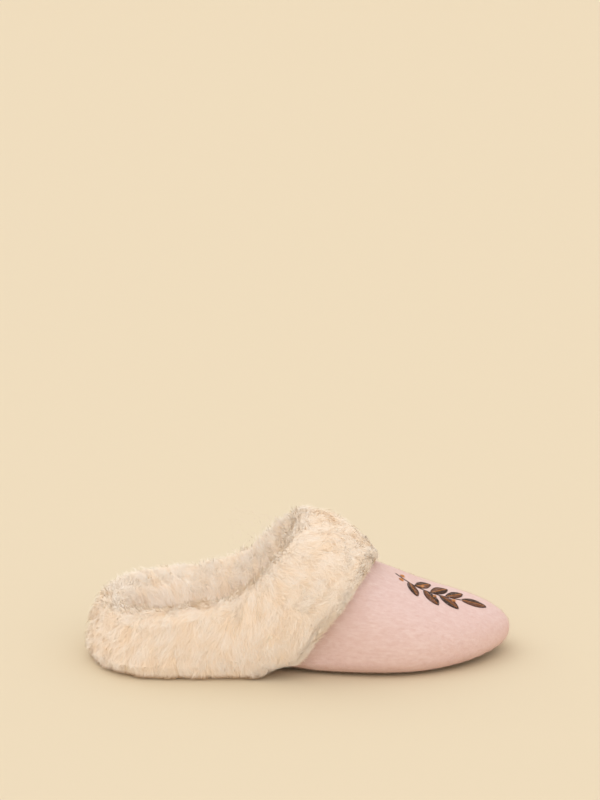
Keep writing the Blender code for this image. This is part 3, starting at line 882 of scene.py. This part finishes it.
class SLIPPER_OT_sole(bpy.types.Operator):
    """Make the brushed outsole and the padded fleece sock"""

    bl_idname = "slipper.sole"
    bl_label = "Sole and Sock"

    def execute(self, context):
        """Two rounded slabs; the sock's top is quilted a little by soft noise."""
        colours = looks()
        deep_sole = tuple(c * 0.6 for c in colours.sole)
        pale_sole = tuple(c * 1.3 for c in colours.sole)
        suede = napped_cloth("sole_cloth", deep_sole, colours.sole, pale_sole)
        sole = rounded_slab("sole_pad", 0.0, SOLE_THICKNESS, 0.0010, 0.0, (suede,), lambda points: 0.0)
        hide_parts("outsole")
        deep_fleece = tuple(c * 0.7 for c in colours.fleece)
        fleece = napped_cloth("sock_fleece", deep_fleece, colours.fleece, colours.felt_mid)
        low = SOLE_THICKNESS + FACE_GAP
        high = low + SOCK_THICKNESS
        sock = rounded_slab("padded_sock", low, high, 0.0016, 0.0006, (fleece,), self.quilting)
        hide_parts("insole")
        return {"FINISHED"}

    def quilting(self, points):
        """The sock's soft swells, in metres upwards."""
        return 0.00025 * soft_noise(points, 0.020, 9, 2)


def pile_tufts(chance, spacing, loop, band):
    """Centres of tufts on a shaken grid over the unrolled pile, and how many there are."""
    rows, columns = int(round(loop / spacing)), int(round(band / spacing))
    i, j = np.meshgrid(np.arange(rows), np.arange(columns), indexing="ij")
    shake = chance.uniform(-0.42, 0.42, size=(2, rows, columns))
    centres_u = (i + 0.5 + shake[0]) / rows * loop
    centres_v = (j + 0.5 + shake[1]) / columns * band
    return centres_u, centres_v, rows * columns


class SLIPPER_OT_fur(bpy.types.Operator):
    """Make the fur cuff: its backing with a felted ground, the undercoat, the guard hairs and the fringe"""

    bl_idname = "slipper.fur"
    bl_label = "Fur Cuff"

    # The pile unrolled: its length round the cuff, its height over the section, and where its roots lie
    loop_length = 0.455
    band_length = 0.098
    first_root = 0.02
    last_root = 1.10
    root_depth = 0.0020
    hair_steps = (0.0, 0.55, 1.0)
    # Spreads of what the hairs of a tuft share, and of what each hair has to itself
    tuft_spread = {"lean": 0.30, "stand": 0.45, "bend": 0.24, "tone_and_gap_shade": 0.20}
    hair_spread = {"lean": 0.42, "bend": 0.35, "stand": 0.45, "tone_and_gap_shade": 0.26}

    def execute(self, context):
        """The ground is the pile's chart just under its skin. A hair starts there and ends over the skin."""
        chart = PileChart()
        self.make_ground(chart)
        self.make_pile(chart)
        return {"FINISHED"}

    def make_ground(self, chart):
        """A closed ring: over the section a little under the pile's skin, and back along the felt itself."""
        turns = np.arange(220) / 220
        overs = np.linspace(GROUND_EDGE, 1.12, 54)
        turn, over = np.meshgrid(turns, overs, indexing="ij")
        thick = np.linalg.norm(chart.at(turn, over, 1.0) - chart.at(turn, over, 0.0), axis=-1)
        sunk = np.interp(overs, [GROUND_EDGE, 0.06, 1.0, 1.12], [0.0026, 0.0013, 0.0013, 0.0026])
        skin = chart.at(turn, over, np.clip(1 - sunk[None, :] / thick, 0.3, 1.0))
        skin = skin + chart.outward(turn, over) * (0.0007 * soft_noise(skin, 0.012, 21, 2))[..., None]
        seat = [chart.at(turns, np.full_like(turns, over), np.full_like(turns, out)) for over, out in SEAT]
        ring = np.concatenate([skin, np.stack(seat, axis=1)], axis=1)
        ring[..., 2] = np.maximum(ring[..., 2], 0.0009)
        quads = grid_quads(*ring.shape[:2], closed_rows=True, closed_columns=True)
        colours = looks()
        ground = napped_cloth("fur_ground", colours.fur_root, colours.fur_mid, colours.fur_tip)
        piece = new_piece("fur_backing", ring, quads, None, (ground,), None, WELD)
        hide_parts("fur_cuff")

    def make_pile(self, chart):
        """The undercoat in three parts, longer and looser hairs over it, and the fringe of the skirt.

        Only the fringe casts shadows, on the felt: real hairs are too fine to darken each other much, and the
        shade in the gaps between tufts is painted into the hairs' colour instead.
        """
        size = sizes()
        material = fur_material("fur_pile", looks())
        for part in range(3):
            chance = np.random.RandomState(73 + part)
            roots = self.scatter_roots(chart, chance, size.hair_count // 3, part / 3, (part + 1) / 3)
            hairs = self.comb(chart, chance, roots, size.hair_lay, size.hair_rise)
            name = f"fur_undercoat_{part + 1}"
            piece = self.build_hairs(chart, chance, name, material, roots, hairs, size.hair_width, 0.4)
            piece.visible_shadow = False
        chance = np.random.RandomState(91)
        roots = self.scatter_roots(chart, chance, size.guard_count, 0, 1)
        hairs = self.comb(chart, chance, roots, size.hair_lay * 1.25, size.hair_rise * 2.2)
        wide = size.hair_width * 1.1
        guard = self.build_hairs(chart, chance, "fur_guard_hairs", material, roots, hairs, wide, 1.2)
        guard.visible_shadow = False
        chance = np.random.RandomState(57)
        count = size.fringe_count
        roots = (chance.uniform(0, 1, count), 0.12 * chance.uniform(0, 1, count) ** 1.5)
        level = np.where(roots[1] < 0.035, chance.uniform(0.2, 1.0, count), 1.0)
        hairs = self.comb(chart, chance, roots, size.hair_lay * 1.1, size.hair_rise * 2.6, level)
        self.build_hairs(chart, chance, "fur_fringe", material, roots, hairs, size.hair_width, 0.9)

    def scatter_roots(self, chart, chance, count, start, end):
        """Roots spread evenly by area over a stretch of the cuff, as places round it and over its section."""
        turns, overs = np.linspace(start, end, 97), np.linspace(self.first_root, self.last_root, 70)
        turn, over = np.meshgrid(turns, overs, indexing="ij")
        skin = chart.at(turn, over, np.ones_like(turn))
        wide = np.linalg.norm(np.diff(skin, axis=0), axis=-1)[:, :-1]
        tall = np.linalg.norm(np.diff(skin, axis=1), axis=-1)[:-1]
        thinning = np.interp(over[:-1, :-1], [0.0, 0.9, 1.1], [1.0, 0.9, 0.5])
        weight = (wide * tall * thinning).ravel()
        picked = chance.choice(weight.size, size=count, p=weight / weight.sum())
        i, j = np.divmod(picked, len(overs) - 1)
        root_u = turns[i] + chance.uniform(size=count) * (turns[1] - turns[0])
        return root_u, overs[j] + chance.uniform(size=count) * (overs[1] - overs[0])

    def gather(self, chance, u, v):
        """What each hair takes from its tuft and wisp: lean, stand, bend, tone and tan, and the pulls.

        A pull draws a hair towards its tuft's centre. Hairs far from the centre are darker and more tan:
        painted shade in the gaps between tufts.
        """
        size, loop = sizes(), self.loop_length
        traits = {name: np.zeros(len(u)) for name in ("lean", "stand", "bend", "tone_and_gap_shade", "tan_and_gap_shade", "ragged")}
        pulls = []
        shared = np.random.RandomState(7)
        for spacing, pull, weight in ((size.tuft_size, 0.30, 1.0), (size.wisp_size, 0.45, 0.6)):
            centres_u, centres_v, total = pile_tufts(shared, spacing, loop, self.band_length)
            tuft = nearest_tuft(u, v, centres_u, centres_v, loop)
            strength = np.clip(shared.normal(pull, 0.14, total), 0.1, 0.9)[tuft]
            to_u = (centres_u.ravel()[tuft] - u + loop / 2) % loop - loop / 2
            to_v = centres_v.ravel()[tuft] - v
            pulls.append((to_u * strength, to_v * strength))
            for name, spread in self.tuft_spread.items():
                traits[name] += weight * shared.normal(0, spread, total)[tuft]
            traits["tan_and_gap_shade"] += weight * shared.uniform(0, 1, total)[tuft] ** 5
            traits["ragged"] += weight * shared.uniform(-0.55, 0.45, total)[tuft]
            # Painted shade: the further a hair is from its tuft's centre, the darker and more tan it is
            # coloured.
            gap = np.hypot(to_u, to_v) / spacing - 0.38
            traits["tone_and_gap_shade"] -= weight * 0.7 * gap
            traits["tan_and_gap_shade"] += weight * 0.9 * np.clip(gap, 0, 0.5)
        for name, spread in self.hair_spread.items():
            traits[name] += chance.normal(0, spread, len(u))
        return traits, pulls

    def comb(self, chart, chance, roots, lay_length, rise, level=1.0):
        """Hairs bent down the lay and drawn together into tufts and wisps, each with its own tone and tan,
        which also carry painted shade in the gaps between tufts.

        Over a hair's length its lean grows as a power of the length, and its height over the skin as a sine.
        The level is the share of the pile's depth at which a hair is rooted. Near the skirt's edge each tuft
        has its own length.
        """
        root_u, root_v = roots
        loop, band = self.loop_length, self.band_length
        span = self.last_root - self.first_root
        traits, pulls = self.gather(chance, root_u * loop, (root_v - self.first_root) / span * band)
        stand = np.clip(1 + traits["stand"], -0.6, 2.6)
        tone_and_gap_shade = np.clip(0.5 + traits["tone_and_gap_shade"], 0, 1)
        tan_and_gap_shade = np.clip(traits["tan_and_gap_shade"] * 0.40 + chance.uniform(0, 1, len(root_u)) ** 8 * 0.6, 0, 0.75)
        lay = np.interp(root_v, *zip(*LAY))
        lay *= 1 + traits["ragged"] * np.clip(1 - root_v / RAGGED_BAND, 0, 1)
        thick = np.linalg.norm(chart.at(root_u, root_v, 1.0) - chart.at(root_u, root_v, 0.0), axis=-1)
        low, high = -self.root_depth / thick, rise * stand / thick
        points = []
        for step in self.hair_steps:
            down = lay_length * (lay + traits["bend"] * 0.8) * step**1.35
            aside = lay_length * traits["lean"] * step**1.5
            for to_u, to_v in pulls:
                aside = aside + to_u * step**1.2
                down = down - to_v * step**1.2
            out = level * (1 + low) + (high - low) * np.sin(np.radians(90) * step) ** 0.9
            out = np.clip(out, 0.1, 1.5)
            points.append(chart.at(root_u + aside / loop, root_v - down / band * span, out))
        points = np.stack(points, axis=1)
        points[..., 2] = np.maximum(points[..., 2], HAIR_CLEAR)
        return points, tone_and_gap_shade, tan_and_gap_shade

    def build_hairs(self, chart, chance, name, material, roots, hairs, width, lit):
        """Each hair is a narrow tapered ribbon of a quad and a tip, shaded as the pile's skin is.

        The last number is how much it is shaded as a face that looks up instead.
        """
        points, tone_and_gap_shade, tan_and_gap_shade = hairs
        count = len(points)
        out = chart.outward(*roots)
        tangent = unit(np.gradient(points, axis=1))
        beside = unit(np.cross(tangent, out[:, None, :]))
        above = unit(np.cross(beside, tangent))
        roll = chance.uniform(-0.75, 0.75, count)[:, None, None]
        across = beside * np.cos(roll) + above * np.sin(roll)
        taper = np.array([1.0, 0.85])[None, :, None]
        half = width / 2 * chance.uniform(0.6, 1.25, count)[:, None, None] * taper
        left = points[:, :2] - across[:, :2] * half
        right = points[:, :2] + across[:, :2] * half
        corners = np.concatenate([left, right, points[:, 2:]], axis=1)
        up = np.array([0.0, 0.0, lit])
        shade = unit(out[:, None, :] * 0.75 + above * 0.30 + up + chance.normal(0, 0.20, (count, 1, 3)))
        normals = np.concatenate([shade[:, :2], shade[:, :2], shade[:, 2:]], axis=1)
        # The pile attribute: red is the place along the hair, green its tone and blue its tan, both with the
        # painted gap shade.
        measures = np.empty((count, 5, 3))
        measures[..., 0] = np.array([0.0, 0.6, 0.0, 0.6, 1.0])[None, :]
        measures[..., 1] = tone_and_gap_shade[:, None]
        measures[..., 2] = tan_and_gap_shade[:, None]
        first = np.arange(count)[:, None] * 5
        piece = new_piece(name, corners, first + [0, 2, 3, 1], first + [1, 3, 4], (material,))
        set_colour_attribute(piece, "pile", measures.reshape(-1, 3))
        piece.data.normals_split_custom_set_from_vertices(normals.reshape(-1, 3))
        return piece


class SLIPPER_OT_fuzz(bpy.types.Operator):
    """Make the loose fibres that stand off the felt"""

    bl_idname = "slipper.fuzz"
    bl_label = "Felt Fuzz"

    def execute(self, context):
        """Fibres at random places of the vamp, each a bent ribbon of a quad and a tip, almost flat."""
        size = sizes()
        chance = np.random.RandomState(31)
        count = size.fuzz_count
        along = 0.30 + 0.70 * chance.uniform(0, 1, count) ** 0.8
        girth = chance.uniform(-1.75, 1.75, count)
        root = last_surface(along, girth, -0.0001)
        out = unit(last_surface(along, girth, -0.001) - root)
        grain = np.array([0.0, 0.8, 0.0])
        flat = unit(np.cross(out, unit(chance.normal(size=(count, 3)) + grain)))
        length = size.fuzz_length * chance.uniform(0.4, 1.5, count)[:, None]
        middle = root + flat * length * 0.5 + out * length * 0.28
        tip = root + flat * length + out * length * chance.uniform(0.05, 0.7, count)[:, None]
        side = unit(np.cross(flat, out)) * FIBRE_WIDTH / 2
        corners = (root - side, root + side, middle - side * 0.8, middle + side * 0.8, tip)
        corners = np.stack(corners, axis=1)
        corners[..., 2] = np.maximum(corners[..., 2], HAIR_CLEAR)
        first = np.arange(count)[:, None] * 5
        material = plain_material("felt_fibre", looks().felt_pale, 0.9, 0.3, 0.25)
        piece = new_piece("felt_fuzz", corners, first + [0, 1, 3, 2], first + [2, 3, 4], (material,))
        piece.data.normals_split_custom_set_from_vertices(np.repeat(out, 5, axis=0))
        return {"FINISHED"}


# The sprig's leaves. stem: share of the stem's length at which the leaf grows. side: -1 or 1. angle: degrees
# from the stem. length, width: shares of the sprig's length. shade: which brown fills it.
LEAVES = (
    # stem, side, angle, length, width, shade
    (0.20, -1, 52, 0.26, 0.115, 0),
    (0.30, 1, 50, 0.25, 0.110, 1),
    (0.44, -1, 47, 0.30, 0.130, 1),
    (0.54, 1, 46, 0.28, 0.125, 0),
    (0.68, -1, 40, 0.30, 0.125, 0),
    (0.77, 1, 38, 0.27, 0.115, 1),
    (1.00, 1, 2, 0.32, 0.140, 1),
)
# The berries beside the stem. stem, side, off: share of the sprig's length to the side.
BERRIES = (
    # stem, side, off
    (0.08, 1, 0.050),
    (0.10, -1, 0.055),
    (0.60, -1, 0.060),
    (0.40, 1, 0.060),
    (0.88, -1, 0.050),
)


class SLIPPER_OT_sprig(bpy.types.Operator):
    """Embroider a plain leaf sprig on the toe in satin stitch"""

    bl_idname = "slipper.sprig"
    bl_label = "Embroidered Sprig"

    start = (0.0600, 0.0005)
    heading = -22.0

    def on_felt(self, flat, height):
        """Flat drawing to felt: its first measure runs along the foot and its second round the girth."""
        along = (flat[..., 0] - MIDDLE_X) / FELT_LENGTH + 0.5
        rise = ridge_rise(along, 0.0)
        arc = 0.5 * np.pi * np.sqrt((half_width(along, np.sign(flat[..., 1]), 0.0) ** 2 + rise**2) / 2)
        girth = flat[..., 1] / arc
        point = last_surface(along, girth, 0.0)
        out = unit(point - last_surface(along, girth, 0.002))
        point = point + out * felt_relief(point, along, girth)[..., None]
        return point + out * height[..., None], out

    def stem_point(self, share):
        """The stem: an arc that starts straight and bends a little to the outer side."""
        length = sizes().sprig_length * 0.80
        turn = np.radians(self.heading + 26.0 * share)
        x = self.start[0] + length * share * np.cos(np.radians(self.heading + 13.0 * share))
        y = self.start[1] + length * share * np.sin(np.radians(self.heading + 13.0 * share))
        return np.stack([x, y], axis=-1), turn

    def execute(self, context):
        """Each motif gives stitches, as pairs of ends on the flat drawing, laid on the felt together."""
        size = sizes()
        colours = looks()
        browns = (colours.thread_dark, colours.thread_brown)
        chance = np.random.RandomState(17)
        starts, ends, tints, lifts = [], [], [], []

        def lay(a, b, tint, lifted):
            """Adds stitches from ends to ends, in one tint with a little chance, this high over the felt."""
            starts.append(a)
            ends.append(b)
            shade = chance.uniform(0.8, 1.25, len(a))[:, None]
            tints.append(np.clip(np.array(tint)[None, :] * shade, 0, 1))
            lifts.append(np.full(len(a), lifted))

        stem, turn = self.stem_point(np.linspace(0, 1, 120))
        slant = np.stack([np.cos(turn + 0.5), np.sin(turn + 0.5)], axis=-1)
        lay(stem - slant * 0.0007, stem + slant * 0.0007, browns[0], 0.00022)
        for share, side, angle, length, width, shade in LEAVES:
            foot, turn = self.stem_point(np.array(share))
            turn = turn + side * math.radians(angle)
            long, wide = length * size.sprig_length, width * size.sprig_length
            self.lay_leaf(lay, foot, turn, long, wide, browns[shade], browns[1 - shade])
        for share, side, off in BERRIES:
            foot, turn = self.stem_point(np.array(share))
            across = np.array([-math.sin(turn), math.cos(turn)]) * side
            self.lay_berry(lay, foot + across * off * size.sprig_length, 0.0015)
        self.build(*(np.concatenate(part) for part in (starts, ends, tints, lifts)))
        return {"FINISHED"}

    def lay_leaf(self, lay, foot, turn, length, width, fill, other):
        """A pointed oval: slanted stitches from the midrib to either edge, a tan vein, and an edge line."""
        colours = looks()
        ahead = np.array([math.cos(turn), math.sin(turn)])
        across = np.array([-math.sin(turn), math.cos(turn)])
        share = np.linspace(0.04, 0.97, int(length / 0.00030))
        spread = width * np.sin(np.pi * share**0.80) ** 0.85
        middle = foot + ahead * (share * length)[:, None]
        for side, tint in ((-1, fill), (1, other)):
            reach = np.clip(share + 0.10 * np.sin(np.pi * share), 0, 0.995)
            edge = foot + ahead * (reach * length)[:, None] + across * (side * spread / 2)[:, None]
            lay(middle, edge, tint, 0.00030)
            lay(edge[:-1], edge[1:], colours.thread_dark, 0.00034)
        vein = middle[2:-4]
        lay(vein[:-1], vein[1:], colours.thread_tan, 0.00046)

    def lay_berry(self, lay, centre, radius):
        """A round of parallel stitches, cut to the circle."""
        colours = looks()
        rows = np.linspace(-0.92, 0.92, int(2 * radius / 0.00032))
        half = np.sqrt(1 - rows**2) * radius
        base = centre[None, :] + rows[:, None] * np.array([[0.6, 0.8]]) * radius
        way = np.array([[0.8, -0.6]]) * half[:, None]
        tint = colours.thread_tan if centre[1] > -0.012 else colours.thread_red
        lay(base - way, base + way, tint, 0.00040)

    def build(self, start, end, tints, lifted):
        """Each stitch is a low arched bead: five places along it, and five points over its back at each."""
        size = sizes()
        along = np.array([0.0, 0.2, 0.5, 0.8, 1.0])
        bow = np.array([-0.3, 0.75, 1.0, 0.75, -0.3])
        flat = start[:, None, :] + (end - start)[:, None, :] * along[None, :, None]
        centre, out = self.on_felt(flat, lifted[:, None] * bow[None, :])
        way = unit(np.gradient(centre, axis=1))
        side = unit(np.cross(way, out))
        turn = np.radians([0, 45, 90, 135, 180])
        half = size.thread_width / 2
        ring = (
            centre[:, :, None, :]
            + side[:, :, None, :] * (np.cos(turn) * half)[None, None, :, None]
            + out[:, :, None, :] * (np.sin(turn) * half * 0.9 - 0.00005)[None, None, :, None]
        )
        count = len(start)
        cells = grid_quads(5, 5)
        quads = (np.arange(count)[:, None, None] * 25 + cells[None]).reshape(-1, 4)
        material = thread_material("satin_thread", looks())
        piece = new_piece("leaf_sprig", ring.reshape(-1, 3), quads[:, ::-1], None, (material,))
        set_colour_attribute(piece, "thread", np.repeat(tints, 25, axis=0))


class SLIPPER_OT_stage(bpy.types.Operator):
    """Set the floor with its curved backdrop, the soft lights and the camera"""

    bl_idname = "slipper.stage"
    bl_label = "Stage"

    key_power = 0.54
    front_power = 0.85
    room_power = 0.89
    frame_height = 0.4960
    aim_above = 0.1573
    aside = 0.0009

    def execute(self, context):
        """A floor, a key light, a broad light from the front, light from all round, and the camera."""
        size, colours = sizes(), looks()
        self.add_floor(plain_material("stage_paper", colours.stage, 0.9, 0.0, 0.1))
        self.add_sun("key", size.key_turn, size.key_height, math.radians(60), self.key_power, colours.key)
        front_turn, front_height = math.radians(-70), math.radians(38)
        self.add_sun("front", front_turn, front_height, math.radians(90), self.front_power, colours.fill)
        world = bpy.data.worlds.new("soft_room")
        world.use_nodes = True
        sky = world.node_tree.nodes["Background"]
        sky.inputs["Color"].default_value = (*colours.fill, 1)
        sky.inputs["Strength"].default_value = self.room_power
        context.scene.world = world
        context.scene.view_settings.view_transform = "Standard"
        self.add_camera()
        return {"FINISHED"}

    def add_floor(self, material):
        """The floor is a wide bowl: flat under the slipper, turned up far away along a quarter circle."""
        flat, radius, turns = 7.0, 2.5, 72
        bend = np.radians(np.linspace(0, 90, 16))
        reach = np.concatenate([[0.05, 0.5, 1.5, 3.0, 5.0], flat + radius * np.sin(bend)])
        rise = np.concatenate([np.zeros(5), radius * (1 - np.cos(bend))])
        turn = np.arange(turns) / turns * 2 * np.pi
        reach, turn = np.meshgrid(reach, turn, indexing="ij")
        height = np.repeat(rise[:, None], turns, axis=1)
        rings = np.stack([reach * np.cos(turn), reach * np.sin(turn), height], axis=-1)
        points = np.concatenate([rings.reshape(-1, 3), np.zeros((1, 3))])
        around = np.arange(turns)
        hub = np.stack([np.full(turns, len(points) - 1), around, (around + 1) % turns], axis=1)
        quads = grid_quads(len(rise), turns, closed_columns=True)
        floor = new_mesh("floor", points, quads, hub, (material,))

    def add_sun(self, name, turn, height, softness, power, colour):
        """A far light with soft edges, from a direction round the slipper and over the floor."""
        light = bpy.data.lights.new(name, "SUN")
        light.angle = softness
        light.energy = power
        light.color = colour
        lamp = bpy.data.objects.new(name, light)
        bpy.context.scene.collection.objects.link(lamp)
        lamp.location = (
            2 * math.cos(height) * math.cos(turn),
            2 * math.cos(height) * math.sin(turn),
            2 * math.sin(height),
        )
        lamp.rotation_euler = (math.radians(90) - height, 0.0, turn + math.radians(90))

    def add_camera(self):
        """The camera stands square to the slipper's side and aims above it, so it lies low in the frame."""
        size = sizes()
        lens = bpy.data.cameras.new("photo_camera")
        lens.sensor_width = 36.0
        lens.lens = lens.sensor_width * size.camera_distance / self.frame_height
        lens.clip_start, lens.clip_end = 0.05, 30.0
        camera = bpy.data.objects.new("photo_camera", lens)
        bpy.context.scene.collection.objects.link(camera)
        distance, elevation = size.camera_distance, size.camera_height
        camera.location = (self.aside, -distance * math.cos(elevation), distance * math.sin(elevation))
        pitch = elevation - math.atan(self.aim_above / distance)
        camera.rotation_euler = (math.radians(90) - pitch, 0.0, 0.0)
        bpy.context.scene.camera = camera


class SLIPPER_PT_panel(bpy.types.Panel):
    """Lists the slipper's steps in the sidebar"""

    bl_idname = "SLIPPER_PT_panel"
    bl_label = "House Slipper"
    bl_space_type = "VIEW_3D"
    bl_region_type = "UI"
    bl_category = "Slipper"

    def draw(self, context):
        """One button a step, then the sizes and colours."""
        for step in STEPS:
            self.layout.operator(step)
        for group in (context.scene.slipper_sizes, context.scene.slipper_colours):
            for name in group.bl_rna.properties.keys():
                if name not in ("rna_type", "name"):
                    self.layout.prop(group, name)


STEPS = ("slipper.stage", "slipper.sole", "slipper.upper", "slipper.fur", "slipper.fuzz", "slipper.sprig")
CLASSES = (
    SlipperSizes,
    SlipperColours,
    SLIPPER_OT_stage,
    SLIPPER_OT_sole,
    SLIPPER_OT_upper,
    SLIPPER_OT_fur,
    SLIPPER_OT_fuzz,
    SLIPPER_OT_sprig,
    SLIPPER_PT_panel,
)


def register():
    """Adds the classes and the two groups of settings."""
    for item in CLASSES:
        bpy.utils.register_class(item)
    bpy.types.Scene.slipper_sizes = PointerProperty(type=SlipperSizes)
    bpy.types.Scene.slipper_colours = PointerProperty(type=SlipperColours)


def unregister():
    """Takes them out again."""
    del bpy.types.Scene.slipper_colours
    del bpy.types.Scene.slipper_sizes
    for item in reversed(CLASSES):
        bpy.utils.unregister_class(item)


def clear_stage():
    """Takes out the objects that a new file starts with, and keeps the frame."""
    kept = set(frame["nodes"].values()) | set(frame["bodies"].values())
    for found in list(bpy.data.objects):
        if found not in kept:
            bpy.data.objects.remove(found, do_unlink=True)


def main():
    """Runs every step in order."""
    register()
    clear_stage()
    for step in STEPS:
        group, name = step.split(".")
        getattr(getattr(bpy.ops, group), name)()


if __name__ == "__main__":
    main()
